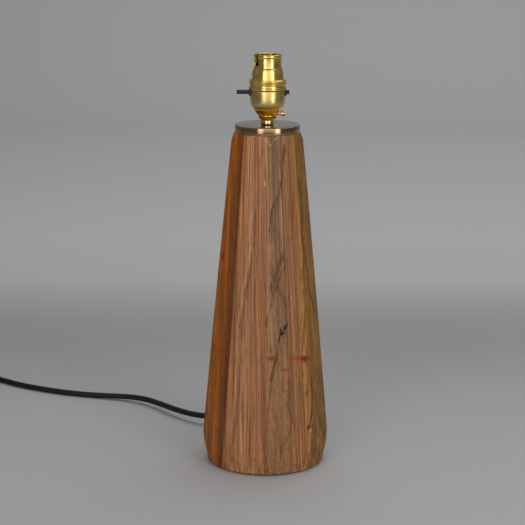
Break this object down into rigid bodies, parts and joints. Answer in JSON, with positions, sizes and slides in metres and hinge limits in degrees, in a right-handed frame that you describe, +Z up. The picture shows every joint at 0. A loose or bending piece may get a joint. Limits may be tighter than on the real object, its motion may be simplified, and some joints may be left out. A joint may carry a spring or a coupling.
{
  "type": "table lamp base",
  "caption": "Tapered eight-sided wooden table lamp base with a round brass plate, a switched bayonet lampholder and a black flex with a mains plug.",
  "frame": {"origin": "centre of the face that the lamp stands on, under the middle of the column", "axes": "+Z up along the column; -Y towards the viewer, with one arris of the column facing -Y; +X to the right, along the push bar"},
  "size_m": [0.4569, 0.3449, 0.3979],
  "materials": {
    "oiled_wood": "oiled reddish-brown hardwood with dark streaks",
    "green_felt": "dense felt",
    "brushed_brass": "brushed, slightly aged",
    "polished_brass": "polished and lacquered",
    "plain_brass": "machined",
    "copper_contact": "copper contact strip",
    "zinc_steel": "zinc plated",
    "spring_steel": "drawn wire",
    "black_moulding": "moulded thermoset",
    "pale_moulding": "moulded",
    "black_plastic": "moulded, satin",
    "black_flex": "smooth flexible sheath",
    "tie": "soft plastic",
    "brown_core": "insulated wire",
    "blue_core": "insulated wire",
    "green_core": "insulated wire"
  },
  "bodies": {
    "root": {"column": "oiled_wood", "felt_pad": "green_felt", "top_plate": "brushed_brass", "collar_nut": "polished_brass", "centre_tube": "zinc_steel", "bottom_washer": "zinc_steel", "bottom_nut": "zinc_steel", "holder_cap": "polished_brass", "union_ring": "polished_brass", "barrel": "polished_brass", "insulator_base": "black_moulding", "insulator_top": "black_moulding", "locking_screw": "polished_brass", "terminal_live": "plain_brass", "terminal_neutral": "plain_brass", "terminal_screw_live": "plain_brass", "terminal_screw_neutral": "plain_brass", "earth_tag": "plain_brass", "earth_screw": "plain_brass", "rocker_pin": "zinc_steel", "fixed_contact": "copper_contact", "cord_grommet": "black_moulding", "inner_flex": "black_flex", "core_live": "brown_core", "core_neutral": "blue_core", "core_earth": "green_core", "strain_relief": "black_flex", "cord_lead": "black_flex", "cord_coil": "black_flex", "coil_tie": "tie", "cord_tail": "black_flex", "plug_cover": "black_plastic", "plug_base": "black_plastic", "pin_live": "plain_brass", "pin_neutral": "plain_brass", "pin_earth": "plain_brass", "plug_screw": "zinc_steel", "plug_fuse": "pale_moulding", "plug_cord_clamp": "pale_moulding", "plug_sleeve": "black_flex", "plunger_spring_1": "spring_steel", "plunger_spring_2": "spring_steel"},
    "push_bar": {"push_bar": "black_plastic"},
    "rocker": {"rocker": "pale_moulding", "rocker_contact": "copper_contact"},
    "plunger_1": {"plunger_1": "plain_brass"},
    "plunger_2": {"plunger_2": "plain_brass"}
  },
  "joints": [
    {"name": "push_bar_slide", "type": "slide", "parent": "root", "child": "push_bar", "axis": [1, 0, 0], "range_m": [0, 0.008]},
    {"name": "rocker_tilt", "type": "hinge", "parent": "root", "child": "rocker", "pos_m": [0, 0, 0.3532], "axis": [0, 1, 0], "range_deg": [0, 61.75]},
    {"name": "plunger_1_press", "type": "slide", "parent": "root", "child": "plunger_1", "axis": [0, 0, -1], "range_m": [0, 0.0035], "stiffness_N_per_m": 600, "springref_m": -0.002, "deforming": ["plunger_spring_1"]},
    {"name": "plunger_2_press", "type": "slide", "parent": "root", "child": "plunger_2", "axis": [0, 0, -1], "range_m": [0, 0.0035], "stiffness_N_per_m": 600, "springref_m": -0.002, "deforming": ["plunger_spring_2"]}
  ],
  "couplings": [
    {"joint": "rocker_tilt", "follows": "push_bar_slide", "rad_per_m": 134.62}
  ]
}
